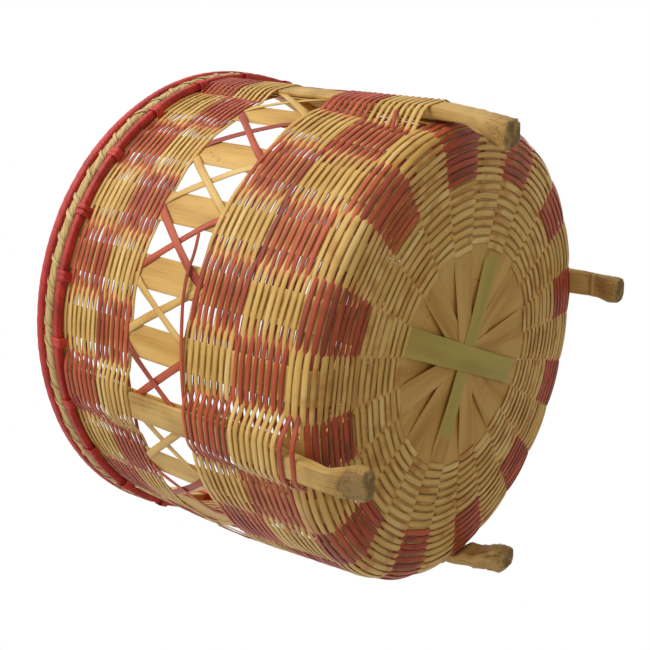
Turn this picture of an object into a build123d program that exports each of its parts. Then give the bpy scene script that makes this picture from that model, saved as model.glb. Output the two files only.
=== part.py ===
"""Split-bamboo basket on four legs.

Twelve splints cross under the base and turn up as twenty-four wall stakes. Woven panels
grip the stakes below and above an open band, where crossed strips fill each gap. Four
thick bamboo slats lie on the outside of four stakes and run down as legs. Wrapped hoops,
lashed through the gaps, close the mouth.

Frame: millimetres, +Z up, origin on the floor under the middle of the basket.
"""

import os
from math import cos, hypot, radians, sin

from build123d import *

# ---------------------------------------------------------------- driving dimensions

# Heights above the floor
HEIGHT = 234.0  # top of the rim
BASE_HEIGHT = 31.5  # middle of the flat base
KNEE_HEIGHT = 120.0  # where the wall turns from flared to nearly upright

# Radii of the stakes' centre line
BASE_RADIUS = 135.6  # where the lines of base and wall meet
KNEE_RADIUS = 144.9
TOP_RADIUS = 148.4
CORNER_RADIUS = 12.0  # bend from the base up into the wall
KNEE_BEND_RADIUS = 48.0

# Splints, which are the spokes of the base and the stakes of the wall
STAKE_COUNT = 24
SPLINT_THICKNESS = 0.7
STAKE_WIDTH = 18.6
SPOKE_WIDTH = 15.0
BROAD_SPOKE_WIDTH = 15.6
LAYER_PITCH = 0.74  # height from one splint to the next where they cross
LOWEST_LAYER_DROP = 1.6  # how far the outermost splint lies below the base's middle
CROSSING_RADIUS = 55.0  # inside this the splints lie over each other
RAMP_LENGTH = 8.0
WIDE_SPOKE_RADIUS = 122.0  # where a spoke has grown to the stakes' width
STAKE_TOP_GAP = 1.5  # rim top above the ends of the stakes

# Azimuths of the splints in degrees, from the underside up
CROSSING_ORDER = (75, 165, 135, 105, 45, 15, 150, 120, 90, 30, 0, 60)
BROAD_SPLINTS = (75,)

# Woven panels
WEAVE_THICKNESS = 3.0
PANEL_GAP = 0.2  # between one block of colour and the next
FIT = 0.1  # clearance of a piece that passes through or rests on another
BASE_WEAVE_START = 2.0  # from the foot of the splints' ramps to the first row of weave
BASE_WEAVE_OUTER_RADIUS = 105.8
MIDDLE_BLOCK_BOTTOM = 46.9
MIDDLE_BLOCK_TOP = 80.6
LOWER_PANEL_TOP = 114.2
UPPER_PANEL_BOTTOM = 156.0
UPPER_BLOCK_BOTTOM = 184.3

# Crossed strips in the open band
STRIP_WIDTH = 4.6
STRIP_THICKNESS = 0.7
STRIP_LEAN = 7.3  # half the sideways travel of a strip's centre line

# Legs
LEG_LEANS = {45: 4.0, 135: -6.0, 225: 0.0, 315: 0.0}  # azimuth: the foot's lean outwards
LEG_WIDTH = 16.5
LEG_TOP_GAP = 1.5  # upper panel's top above the ends of the legs
LEG_BAND_THICKNESS = 3.0
LEG_EMERGING_THICKNESS = 8.0
LEG_LEAVES_WALL = 60.0
LEG_EMERGES = 42.0
FOOT_WIDTH = 17.8
FOOT_DEPTH = 15.5
FOOT_SETBACK = 2.0  # foot's outer face inside the leg's outer face
FOOT_FLARE_TOP = 23.0
FOOT_FLARE_BOTTOM = 7.0
LEG_COVER = 0.9  # weave over the outside of a leg

# Rim
UPPER_HOOP_DEPTH = 5.7
LOWER_HOOP_DEPTH = 4.6
UPPER_HOOP_HEIGHT = 6.2
LOWER_HOOP_HEIGHT = 6.2
CORE_HEIGHT = 7.4
CORE_DEPTH = 5.0
INNER_HOOP_DEPTH = 4.6
HOOP_EDGE = 1.4  # rounding of the hoops' outer edges
LASHING_WIDTH = 7.6
LASHING_THICKNESS = 0.8
LASHING_SHIFT = 0.39  # part of the stakes' pitch from a stake to its lashing
BINDING_PER_GAP = 3
BINDING_WIDTH = 2.2
BINDING_THICKNESS = 0.7
BINDING_SLANT = 32.0

# ---------------------------------------------------------------- derived sizes

PITCH = 360.0 / STAKE_COUNT
STAKE_TOP = HEIGHT - STAKE_TOP_GAP
CORE_TOP = HEIGHT - UPPER_HOOP_HEIGHT - FIT
CORE_BOTTOM = CORE_TOP - CORE_HEIGHT
LOWER_HOOP_TOP = CORE_BOTTOM - LASHING_THICKNESS - 2 * FIT
LOWER_HOOP_BOTTOM = LOWER_HOOP_TOP - LOWER_HOOP_HEIGHT
UPPER_PANEL_TOP = LOWER_HOOP_BOTTOM - LASHING_THICKNESS - 2 * FIT
LEG_TOP = UPPER_PANEL_TOP - LEG_TOP_GAP
LEG_SIDE = SPLINT_THICKNESS / 2 + FIT  # stake's centre line to the leg's inner face


def stake_radius(height: float) -> float:
    """Radius of the stakes' centre line at a height on the wall."""
    if height < KNEE_HEIGHT:
        share = (height - BASE_HEIGHT) / (KNEE_HEIGHT - BASE_HEIGHT)
        return BASE_RADIUS + share * (KNEE_RADIUS - BASE_RADIUS)
    share = (height - KNEE_HEIGHT) / (HEIGHT - KNEE_HEIGHT)
    return KNEE_RADIUS + share * (TOP_RADIUS - KNEE_RADIUS)


def stake_corner_radius(height: float) -> float:
    """Radius that clears the outer corners of the stakes at a height."""
    return hypot(stake_radius(height) + SPLINT_THICKNESS / 2, STAKE_WIDTH / 2)


def radial_plane(azimuth: float) -> Plane:
    """Upright plane through the axis, with its x outwards and its y up."""
    turn = radians(azimuth)
    return Plane(origin=(0, 0, 0), x_dir=(cos(turn), sin(turn), 0), z_dir=(sin(turn), -cos(turn), 0))


# ---------------------------------------------------------------- splints


def splint(azimuth: float, grow: float = 0.0) -> Part:
    """One splint: a stake, a spoke across the base, and the stake opposite.

    grow widens and thickens it on every side, for cutting the passage that it needs.
    """
    layer = CROSSING_ORDER.index(azimuth)
    crossing_height = BASE_HEIGHT - LOWEST_LAYER_DROP + layer * LAYER_PITCH
    ramp_end = CROSSING_RADIUS + RAMP_LENGTH
    end = SPLINT_THICKNESS / 2 + grow  # the outline reaches this far past the line's ends
    top = STAKE_TOP - end + (HEIGHT if grow else 0.0)
    half_profile = [
        (stake_radius(top), top),
        (KNEE_RADIUS, KNEE_HEIGHT),
        (BASE_RADIUS, BASE_HEIGHT),
        (ramp_end, BASE_HEIGHT),
        (CROSSING_RADIUS, crossing_height),
    ]
    profile = [(-x, y) for x, y in half_profile] + half_profile[::-1]
    bends = [KNEE_BEND_RADIUS, CORNER_RADIUS, CORNER_RADIUS, CORNER_RADIUS]
    spoke_width = BROAD_SPOKE_WIDTH if azimuth in BROAD_SPLINTS else SPOKE_WIDTH
    inner, outer = spoke_width / 2 + grow, STAKE_WIDTH / 2 + grow
    reach = 2 * TOP_RADIUS
    half_plan = [(-reach, outer), (-WIDE_SPOKE_RADIUS, outer), (-CROSSING_RADIUS, inner)]
    half_plan += [(-x, y) for x, y in half_plan[::-1]]
    plan = half_plan + [(x, -y) for x, y in half_plan[::-1]]
    with BuildPart() as strip:
        with BuildSketch(radial_plane(azimuth)):
            with BuildLine():
                FilletPolyline(*profile, radius=bends + bends[::-1])
                offset(amount=end, side=Side.BOTH, kind=Kind.INTERSECTION)
            make_face()
        extrude(amount=STAKE_WIDTH, both=True)
        with BuildSketch(Plane.XY.rotated((0, 0, azimuth))):
            Polygon(*plan, align=None)
        extrude(amount=2 * HEIGHT, mode=Mode.INTERSECT)
    return strip.part


# ---------------------------------------------------------------- legs


def leg_outer_points() -> list:
    """Outer line of a leg from its top to where it leaves the wall, as radius and height."""
    return [
        (stake_radius(LEG_TOP) + LEG_SIDE + LEG_BAND_THICKNESS, LEG_TOP),
        (stake_radius(KNEE_HEIGHT) + LEG_SIDE + LEG_BAND_THICKNESS, KNEE_HEIGHT),
        (stake_radius(LEG_LEAVES_WALL) + LEG_SIDE + LEG_EMERGING_THICKNESS, LEG_EMERGES),
    ]


def leg(azimuth: float) -> Part:
    """One leg: a slat along a stake, and a root-end foot that flares inwards."""
    inner_face = stake_radius(LEG_LEAVES_WALL) + LEG_SIDE
    lean = LEG_LEANS[azimuth]
    emerging_outside = inner_face + LEG_EMERGING_THICKNESS
    toe_outside = emerging_outside - FOOT_SETBACK + lean
    toe_inside = toe_outside - FOOT_DEPTH
    flare_share = FOOT_FLARE_TOP / LEG_EMERGES
    flare_outside = toe_outside + flare_share * (emerging_outside - toe_outside)
    outline = leg_outer_points() + [
        (toe_outside, 0),
        (toe_inside, 0),
        (toe_inside, FOOT_FLARE_BOTTOM),
        (inner_face + (1 - flare_share) * lean, FOOT_FLARE_TOP),
        (inner_face, LEG_EMERGES),
        (inner_face, LEG_LEAVES_WALL),
        (KNEE_RADIUS + LEG_SIDE, KNEE_HEIGHT),
        (stake_radius(LEG_TOP) + LEG_SIDE, LEG_TOP),
    ]
    foot = outline[3:7] + [(flare_outside, FOOT_FLARE_TOP)]
    with BuildPart() as slat:
        with BuildSketch(radial_plane(azimuth)):
            Polygon(*outline, align=None)
        extrude(amount=LEG_WIDTH / 2, both=True)
        with BuildSketch(radial_plane(azimuth)):
            Polygon(*foot, align=None)
        extrude(amount=FOOT_WIDTH / 2, both=True)
    return slat.part


def leg_passage(azimuth: float) -> Part:
    """Room for a leg in the woven panels, from where it emerges up past its top."""
    outer = leg_outer_points()
    over_top = outer[0][1] + LEG_TOP_GAP / 2
    outline = [(radius + FIT, height) for radius, height in outer]
    outline[0] = (outline[0][0], over_top)
    outline += [(outline[-1][0], 0), (stake_radius(LEG_LEAVES_WALL) + LEG_SIDE - FIT, 0)]
    outline += [(outline[-1][0], LEG_LEAVES_WALL), (KNEE_RADIUS, KNEE_HEIGHT)]
    outline += [(stake_radius(over_top), over_top)]
    with BuildPart() as room:
        with BuildSketch(radial_plane(azimuth)):
            Polygon(*outline, align=None)
        extrude(amount=LEG_WIDTH / 2 + FIT, both=True)
    return room.part


def leg_covers(low: float, high: float) -> Part:
    """The weave's ridges over the four legs between two heights."""
    outer = [(radius + FIT + LEG_COVER, height) for radius, height in leg_outer_points()]
    outline = [(outer[0][0], HEIGHT)] + outer[1:]
    outline += [(stake_radius(outer[-1][1]), outer[-1][1]), (KNEE_RADIUS, KNEE_HEIGHT)]
    outline += [(stake_radius(HEIGHT), HEIGHT)]
    with BuildPart() as ridges:
        for azimuth in LEG_LEANS:
            with BuildSketch(radial_plane(azimuth)):
                Polygon(*outline, align=None)
        extrude(amount=LEG_WIDTH / 2 + FIT + LEG_COVER, both=True)
        with BuildSketch(Plane.XY.offset(low)):
            Circle(2 * TOP_RADIUS)
        extrude(amount=high - low, mode=Mode.INTERSECT)
    return ridges.part


# ---------------------------------------------------------------- woven panels


def wall_panel(low: float, high: float, passages: list) -> Part:
    """A ring of weave on the wall between two heights, with its passages cut."""
    half = WEAVE_THICKNESS / 2
    heights = [low, high]
    if low < KNEE_HEIGHT < high:
        heights.insert(1, KNEE_HEIGHT)
    outside = [(stake_radius(height) + half, height) for height in heights]
    inside = [(stake_radius(height) - half, height) for height in heights[::-1]]
    with BuildPart() as panel:
        with BuildSketch(Plane.XZ):
            Polygon(*outside, *inside, align=None)
        revolve(axis=Axis.Z)
        add(leg_covers(low, high))
        add(passages, mode=Mode.SUBTRACT)
    return panel.part


def corner_panel(high: float, inner_radius: float, passages: list) -> Part:
    """The weave that turns from the wall, round the corner, on to the base."""
    half = WEAVE_THICKNESS / 2  # the outline reaches this far past the path's ends
    top, inner_end = high - half, inner_radius + half
    path = [(stake_radius(top), top), (BASE_RADIUS, BASE_HEIGHT), (inner_end, BASE_HEIGHT)]
    with BuildPart() as panel:
        with BuildSketch(Plane.XZ):
            with BuildLine():
                FilletPolyline(*path, radius=CORNER_RADIUS)
                offset(amount=half, side=Side.BOTH, kind=Kind.INTERSECTION)
            make_face()
        revolve(axis=Axis.Z)
        add(leg_covers(LEG_EMERGES, high))
        add(passages, mode=Mode.SUBTRACT)
    return panel.part


def base_panel(inner_radius: float, outer_radius: float, passages: list) -> Part:
    """The flat ring of weave on the base."""
    with BuildPart() as panel:
        with BuildSketch(Plane.XY.offset(BASE_HEIGHT - WEAVE_THICKNESS / 2)):
            Circle(outer_radius)
            Circle(inner_radius, mode=Mode.SUBTRACT)
        extrude(amount=WEAVE_THICKNESS)
        add(passages, mode=Mode.SUBTRACT)
    return panel.part


# ---------------------------------------------------------------- crossed strips


def lattice(first_gap: int) -> Part:
    """The crossed strips of every second gap in the open band, two strips to a gap."""
    low, high = LOWER_PANEL_TOP + PANEL_GAP, UPPER_PANEL_BOTTOM - PANEL_GAP
    middle = (low + high) / 2
    rise = (high - low) / 2
    turn = radians(PITCH / 2)
    corner = (stake_radius(high) + SPLINT_THICKNESS / 2) * cos(turn) + STAKE_WIDTH / 2 * sin(turn)
    half_width = STRIP_WIDTH / 2 * hypot(STRIP_LEAN, rise) / rise
    with BuildPart() as strips:
        for gap in range(first_gap, STAKE_COUNT, 2):
            for layer, lean in enumerate((STRIP_LEAN, -STRIP_LEAN)):
                distance = corner + FIT + layer * (STRIP_THICKNESS + FIT)
                facing = radial_plane((gap + 0.5) * PITCH)
                face = Plane(
                    origin=facing.x_dir * distance + Vector(0, 0, middle),
                    x_dir=-facing.z_dir,
                    z_dir=facing.x_dir,
                )
                with BuildSketch(face):
                    Polygon(
                        (-lean - half_width, -rise),
                        (-lean + half_width, -rise),
                        (lean + half_width, rise),
                        (lean - half_width, rise),
                        align=None,
                    )
                extrude(amount=STRIP_THICKNESS)
    return strips.part


# ---------------------------------------------------------------- rim


def outer_hoop(bottom: float, height: float, depth: float) -> Part:
    """A hoop that bears on the outer corners of the stakes."""
    top = bottom + height
    inside_bottom, inside_top = stake_corner_radius(bottom) + FIT, stake_corner_radius(top) + FIT
    with BuildPart() as hoop:
        with BuildSketch(Plane.XZ) as section:
            Polygon(
                (inside_bottom, bottom),
                (inside_bottom + depth, bottom),
                (inside_top + depth, top),
                (inside_top, top),
                align=None,
            )
            fillet(section.vertices().sort_by(Axis.X)[-2:], HOOP_EDGE)
        revolve(axis=Axis.Z)
    return hoop.part


def inner_hoop(bottom: float, top: float) -> Part:
    """A hoop inside the mouth, against the inner faces of the stakes."""
    gap = SPLINT_THICKNESS / 2 + FIT
    outside_bottom, outside_top = stake_radius(bottom) - gap, stake_radius(top) - gap
    with BuildPart() as hoop:
        with BuildSketch(Plane.XZ):
            Polygon(
                (outside_bottom - INNER_HOOP_DEPTH, bottom),
                (outside_bottom, bottom),
                (outside_top, top),
                (outside_top - INNER_HOOP_DEPTH, top),
                align=None,
            )
        revolve(axis=Axis.Z)
    return hoop.part


def lashings() -> Part:
    """Loops that tie the lower outer hoop to the inner hoop through the gaps."""
    low, high = LOWER_HOOP_BOTTOM - FIT, LOWER_HOOP_TOP + FIT
    inside = stake_radius(low) - SPLINT_THICKNESS / 2 - FIT - INNER_HOOP_DEPTH - FIT
    outside = stake_corner_radius(high) + FIT + LOWER_HOOP_DEPTH + FIT
    wrap = LASHING_THICKNESS
    width, height = outside - inside, high - low
    with BuildPart() as loops:
        for index in range(STAKE_COUNT):
            with BuildSketch(radial_plane((index - LASHING_SHIFT) * PITCH)):
                with Locations(((inside + outside) / 2, (low + high) / 2)):
                    Rectangle(width + 2 * wrap, height + 2 * wrap)
                    Rectangle(width, height, mode=Mode.SUBTRACT)
        extrude(amount=LASHING_WIDTH / 2, both=True)
    return loops.part


def core_binding() -> Part:
    """Slanting wraps on the outside of the core band."""
    count = STAKE_COUNT * BINDING_PER_GAP
    radius = stake_corner_radius(CORE_TOP) + FIT + CORE_DEPTH
    length = (CORE_HEIGHT - BINDING_WIDTH * sin(radians(BINDING_SLANT))) / cos(radians(BINDING_SLANT))
    with BuildPart() as wraps:
        for index in range(count):
            facing = radial_plane((index + 0.5) * 360.0 / count)
            face = Plane(
                origin=facing.x_dir * (radius + FIT / 2) + Vector(0, 0, (CORE_TOP + CORE_BOTTOM) / 2),
                x_dir=-facing.z_dir,
                z_dir=facing.x_dir,
            )
            with BuildSketch(face):
                Rectangle(BINDING_WIDTH, length, rotation=BINDING_SLANT)
            extrude(amount=BINDING_THICKNESS)
    return wraps.part


# ---------------------------------------------------------------- pieces


def write(piece: Part, name: str) -> None:
    """Label a finished piece and write it as its own STEP file."""
    piece.label = name
    export_step(piece, f"parts/{name}.step")


def main() -> None:
    """Make every piece of the basket."""
    os.makedirs("parts", exist_ok=True)
    for azimuth in CROSSING_ORDER:
        write(splint(azimuth), f"splint_{azimuth:03d}")
    for azimuth in LEG_LEANS:
        write(leg(azimuth), f"leg_{azimuth:03d}")

    passages = [splint(azimuth, grow=FIT) for azimuth in CROSSING_ORDER]
    passages += [leg_passage(azimuth) for azimuth in LEG_LEANS]
    base_weave_inner_radius = CROSSING_RADIUS + RAMP_LENGTH + BASE_WEAVE_START
    write(base_panel(base_weave_inner_radius, BASE_WEAVE_OUTER_RADIUS, passages), "base_weave")
    corner_edge = BASE_WEAVE_OUTER_RADIUS + PANEL_GAP
    write(corner_panel(MIDDLE_BLOCK_BOTTOM - PANEL_GAP, corner_edge, passages), "corner_weave")
    write(wall_panel(MIDDLE_BLOCK_BOTTOM, MIDDLE_BLOCK_TOP - PANEL_GAP, passages), "middle_weave")
    write(wall_panel(MIDDLE_BLOCK_TOP, LOWER_PANEL_TOP, passages), "lower_band_weave")
    write(wall_panel(UPPER_PANEL_BOTTOM, UPPER_BLOCK_BOTTOM - PANEL_GAP, passages), "upper_band_weave")
    write(wall_panel(UPPER_BLOCK_BOTTOM, UPPER_PANEL_TOP, passages), "rim_side_weave")

    write(lattice(first_gap=0), "lattice_natural_strips")
    write(lattice(first_gap=1), "lattice_red_strips")

    write(outer_hoop(HEIGHT - UPPER_HOOP_HEIGHT, UPPER_HOOP_HEIGHT, UPPER_HOOP_DEPTH), "rim_upper_hoop")
    write(outer_hoop(LOWER_HOOP_BOTTOM, LOWER_HOOP_HEIGHT, LOWER_HOOP_DEPTH), "rim_lower_hoop")
    write(outer_hoop(CORE_BOTTOM, CORE_HEIGHT, CORE_DEPTH), "rim_core_band")
    write(core_binding(), "rim_core_binding")
    write(inner_hoop(LOWER_HOOP_BOTTOM, LOWER_HOOP_TOP), "rim_inner_hoop")
    write(inner_hoop(CORE_BOTTOM, HEIGHT), "rim_inner_band")
    write(lashings(), "rim_lashings")


main()
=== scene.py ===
"""Split-bamboo basket on four legs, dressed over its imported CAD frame.

Every piece is in metres in the frame's own axes: +Z up, with the origin on the floor under
the middle of the basket. The weave is made strand by strand: two strands spiral up each
block of rows, one in front of the odd stakes and one in front of the even ones.
"""

import logging
from collections.abc import Sequence
from dataclasses import dataclass, field
from enum import Enum
from functools import cached_property
from math import ceil, cos, log, pi, radians, sin, tan, tau

import bmesh
import bpy
import numpy as np
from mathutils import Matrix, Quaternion, Vector


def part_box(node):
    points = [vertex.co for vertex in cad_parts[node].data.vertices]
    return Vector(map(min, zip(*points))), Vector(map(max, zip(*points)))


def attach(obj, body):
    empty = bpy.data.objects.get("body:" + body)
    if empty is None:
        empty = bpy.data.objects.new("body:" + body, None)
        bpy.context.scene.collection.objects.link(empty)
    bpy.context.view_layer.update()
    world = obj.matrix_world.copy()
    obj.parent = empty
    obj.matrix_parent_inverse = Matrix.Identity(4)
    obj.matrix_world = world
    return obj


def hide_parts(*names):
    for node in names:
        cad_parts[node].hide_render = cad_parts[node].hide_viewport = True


logging.basicConfig(level=logging.INFO, format="%(message)s")
LOG = logging.getLogger("basket")

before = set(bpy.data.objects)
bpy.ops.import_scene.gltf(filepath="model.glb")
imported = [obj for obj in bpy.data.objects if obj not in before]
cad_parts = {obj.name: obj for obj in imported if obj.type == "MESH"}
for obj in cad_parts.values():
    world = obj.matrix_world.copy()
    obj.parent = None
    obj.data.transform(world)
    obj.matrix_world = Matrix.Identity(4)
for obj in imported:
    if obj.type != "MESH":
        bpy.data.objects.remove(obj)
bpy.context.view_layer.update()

MM = 0.001
STAKES = 24
PITCH = tau / STAKES
WALL_GAP = 0.45 * MM  # between the line of the stakes and what lies against them
BASE_SOIL = (56 * MM, 34 * MM)  # heights between which the base's soiling sets in
UP = (0.0, 0.0, 1.0)
WHITE = (1.0, 1.0, 1.0, 1.0)
Colour = tuple[float, float, float, float]
Pair = tuple[float, float]
Point = tuple[float, float, float]
Array = np.ndarray
Node = bpy.types.Node
Socket = bpy.types.NodeSocket
Material = bpy.types.Material


# ---- small sums ----


def linear(channel: int) -> float:
    """A display colour's channel, 0 to 255, as a linear one."""
    share = channel / 255
    return share / 12.92 if share <= 0.04045 else ((share + 0.055) / 1.055) ** 2.4


def tints(*colours: tuple[int, int, int]) -> tuple[Colour, ...]:
    """Turns display colours into linear ones with full alpha."""
    return tuple((*map(linear, colour), 1.0) for colour in colours)


def eased(values: Array, start: float, end: float) -> Array:
    """Goes smoothly from 0 at start to 1 at end."""
    share = np.clip((values - start) / (end - start), 0.0, 1.0)
    return share * share * (3 - 2 * share)


def run_length(points: Array) -> Array:
    """Distance along a line of points, from its first point to each of them."""
    steps = np.linalg.norm(np.diff(points, axis=0), axis=1)
    return np.concatenate([[0.0], np.cumsum(steps)])


def unit(vectors: Array) -> Array:
    """Vectors of length one, along the last axis."""
    return vectors / np.linalg.norm(vectors, axis=-1, keepdims=True)


def spun(azimuth: Array, radial: Array, height: Array) -> Array:
    """Points or directions from a radius and a height in the planes at some azimuths."""
    return np.stack([radial * np.cos(azimuth), radial * np.sin(azimuth), height], axis=-1)


def outwards(azimuth: Array) -> Array:
    """Directions away from the axis at some azimuths."""
    return spun(azimuth, np.ones(len(azimuth)), np.zeros(len(azimuth)))


def rounded_line(corners: Sequence[Pair], radii: Sequence[float], step: float) -> Array:
    """Points at an even step along a flat line whose inner corners are rounded.

    Args:
        corners: The line's ends and corners.
        radii: The rounding of each inner corner, in order.
        step: The distance between points.

    Returns:
        An array with a point in each row.
    """
    nodes = [np.array(corner, float) for corner in corners]
    points = [nodes[0]]
    for before, corner, after, radius in zip(nodes, nodes[1:], nodes[2:], radii):
        back, onward = unit(before - corner), unit(after - corner)
        half_angle = np.arccos(np.clip(back @ onward, -1, 1)) / 2
        centre = corner + unit(back + onward) * radius / sin(half_angle)
        first = corner + back * radius / tan(half_angle) - centre
        last = corner + onward * radius / tan(half_angle) - centre
        turn = pi - 2 * half_angle
        for share in np.linspace(0, 1, max(2, ceil(radius * turn / step)) + 1):
            arc = first * sin((1 - share) * turn) + last * sin(share * turn)
            points.append(centre + arc / sin(turn))
    points.append(nodes[-1])
    line = np.array(points)
    run = run_length(line)
    places = np.linspace(0, run[-1], ceil(run[-1] / step) + 1)
    return np.stack([np.interp(places, run, line[:, axis]) for axis in range(2)], axis=1)


class Wander:
    """Smooth random wandering along a line, the same on every run."""

    def __init__(self, seed: int) -> None:
        """Starts the draws from a seed."""
        self.draw = np.random.default_rng(seed)

    def along(self, run: Array, spacing: float, amount: float, closed: bool = False) -> Array:
        """Wanders between plus and minus amount, with a new draw every spacing.

        Args:
            run: Distance along the line at each station.
            spacing: Rough distance between draws.
            amount: Largest wander.
            closed: Whether the end meets the start.

        Returns:
            The wander at each station.
        """
        count = max(1, round((run[-1] - run[0]) / spacing))
        knots = self.draw.uniform(-amount, amount, count + 2)
        if closed:
            knots[count] = knots[0]
        place = (run - run[0]) / (run[-1] - run[0]) * count
        index = np.minimum(place.astype(int), count)
        share = eased(place - index, 0.0, 1.0)
        return knots[index] * (1 - share) + knots[index + 1] * share


# ---- sweeping strips ----


@dataclass
class Track:
    """Stations along a strip.

    Attributes:
        centre: Middle of the strip at each station.
        across: Direction of its width.
        outward: Direction of its thickness, towards its outer face.
        half_width: Half its width.
        half_thickness: Half its thickness.
    """

    centre: Array
    across: Array
    outward: Array
    half_width: Array | float
    half_thickness: Array | float

    @classmethod
    def facing(
        cls, centre: Array, face: Array, halves: tuple[Array | float, float], closed: bool = False
    ) -> "Track":
        """A track whose outer face is turned as near to some directions as its line allows.

        Args:
            centre: Middle of the strip at each station.
            face: Where its outer face should look.
            halves: Half its width, and half its thickness.
            closed: Whether the end meets the start.

        Returns:
            The track.
        """
        ahead = unit(np.gradient(centre, axis=0))
        if closed:
            ahead[0] = ahead[-1] = unit(ahead[0] + ahead[-1])
        across = unit(np.cross(face, ahead))
        return cls(centre, across, np.cross(ahead, across), *halves)

    def rolled(self, angle: Array) -> "Track":
        """The same track with its section rolled about its middle.

        Args:
            angle: How far it rolls at each station.

        Returns:
            The rolled track.
        """
        c, s = np.cos(angle)[:, None], np.sin(angle)[:, None]
        across = self.across * c + self.outward * s
        outward = self.outward * c - self.across * s
        return Track(self.centre, across, outward, self.half_width, self.half_thickness)


def placed(name: str, data: bpy.types.ID) -> bpy.types.Object:
    """Makes an object of some data and links it to the scene.

    Args:
        name: The object's name.
        data: Its mesh, light or camera.

    Returns:
        The object.
    """
    thing = bpy.data.objects.new(name, data)
    bpy.context.scene.collection.objects.link(thing)
    return thing


def meshed(name: str, work: bmesh.types.BMesh) -> bpy.types.Object:
    """Turns a finished bmesh into an object of the scene.

    Args:
        name: The object's name.
        work: The bmesh, which is freed.

    Returns:
        The object.
    """
    mesh = bpy.data.meshes.new(name)
    work.to_mesh(mesh)
    work.free()
    return placed(name, mesh)


@dataclass(frozen=True)
class Skin:
    """A material, and the record's slot that it belongs to."""

    material: Material
    slot: str


class Sweeper:
    """Sweeps squared oval sections along tracks and joins them into one piece."""

    def __init__(self, name: str, sides: int, squareness: float) -> None:
        """Starts an empty piece.

        Args:
            name: The piece's name.
            sides: Points round a section.
            squareness: 2 for an oval section, more for a flatter strip with rounded edges.
        """
        self.name = name
        self.sides = sides
        turn = np.linspace(0, tau, sides + 1)
        waves = np.stack([np.cos(turn), np.sin(turn)], axis=1)
        waves[np.abs(waves) < 1e-9] = 0
        self.section = np.sign(waves) * np.abs(waves) ** (2 / squareness)
        self.work = bmesh.new()
        self.uv = self.work.loops.layers.uv.new("UVMap")

    def lay(self, track: Track, relief: Array | None = None, start: float = 0.0) -> None:
        """Adds one strip.

        Its UV map holds the distance along it in metres, and the part of the way round it.

        Args:
            track: The strip's stations.
            relief: A factor on the section for each point round it and each station.
            start: The distance at which its grain starts, so that no two strips look the same.
        """
        stations = len(track.centre)
        halves = (track.half_width, track.half_thickness)
        sizes = [np.broadcast_to(half, stations) for half in halves]
        points = track.centre
        for side, size, direction in zip(self.section.T, sizes, (track.across, track.outward)):
            reach = side[:, None] * size
            if relief is not None:
                reach = reach * relief
            points = points + reach[..., None] * direction
        grid = bmesh.ops.create_grid(
            self.work, x_segments=stations - 1, y_segments=self.sides, size=1.0, calc_uvs=True
        )
        for vertex, point in zip(grid["verts"], points.reshape(-1, 3).tolist()):
            vertex.co = point
        run = start + run_length(track.centre)
        edge = run_length(self.section * np.mean(sizes, axis=1))
        self.work.faces.ensure_lookup_table()
        for face in self.work.faces[-(stations - 1) * self.sides :]:
            for corner in face.loops:
                place = corner[self.uv]
                place.uv.x = run[round(place.uv.x * (stations - 1))]
                place.uv.y = edge[round(place.uv.y * self.sides)] / edge[-1]

    def finish(self, skin: Skin, *nodes: str) -> None:
        """Closes the seams and ends, and makes the piece part of the basket.

        Args:
            skin: The skin whose material it takes.
            nodes: The CAD nodes that it stands for.
        """
        bmesh.ops.remove_doubles(self.work, verts=self.work.verts, dist=1e-6)
        open_edges = [edge for edge in self.work.edges if edge.is_boundary]
        bmesh.ops.holes_fill(self.work, edges=open_edges, sides=0)
        bmesh.ops.recalc_face_normals(self.work, faces=self.work.faces)
        for face in self.work.faces:
            face.smooth = True
        piece = meshed(self.name, self.work)
        piece.data.materials.append(skin.material)
        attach(piece, "root")
        if nodes:
            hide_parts(*nodes)
        LOG.info("%s: %d faces", self.name, len(piece.data.polygons))


# ---- shader tools ----


class Value:
    """A number in a shader. Python's operators on it add Math nodes."""

    def __init__(self, bench: "Bench", socket: Socket) -> None:
        """Wraps a socket of the tree under work."""
        self.bench = bench
        self.socket = socket

    def sum(self, operation: str, *values: "Value | float") -> "Value":
        """Adds a Math node.

        Args:
            operation: The node's operation.
            values: Its inputs in order.

        Returns:
            Its result.
        """
        inputs = dict(enumerate(values))
        node = self.bench.node("ShaderNodeMath", {"operation": operation}, inputs)
        return Value(self.bench, node.outputs[0])

    def __add__(self, other: "Value | float") -> "Value":
        """Self plus other."""
        return self.sum("ADD", self, other)

    __radd__ = __add__

    def __sub__(self, other: "Value | float") -> "Value":
        """Self less other."""
        return self.sum("SUBTRACT", self, other)

    def __mul__(self, other: "Value | float") -> "Value":
        """Self times other."""
        return self.sum("MULTIPLY", self, other)

    __rmul__ = __mul__

    def __pow__(self, other: float) -> "Value":
        """Self to a power."""
        return self.sum("POWER", self, other)

    def cosine(self) -> "Value":
        """Cosine of self in radians."""
        return self.sum("COSINE", self)

    def size(self) -> "Value":
        """Self without its sign."""
        return self.sum("ABSOLUTE", self)

    def most(self, other: "Value | float") -> "Value":
        """The larger of self and other."""
        return self.sum("MAXIMUM", self, other)

    def rise(self, start: float, end: float) -> "Value":
        """Goes smoothly from 0 to 1 and stays there.

        Args:
            start: Where it is 0.
            end: Where it is 1.

        Returns:
            The share between 0 and 1.
        """
        inputs = {"Value": self, "From Min": start, "From Max": end}
        node = self.bench.node("ShaderNodeMapRange", {"interpolation_type": "SMOOTHSTEP"}, inputs)
        return Value(self.bench, node.outputs[0])


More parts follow.
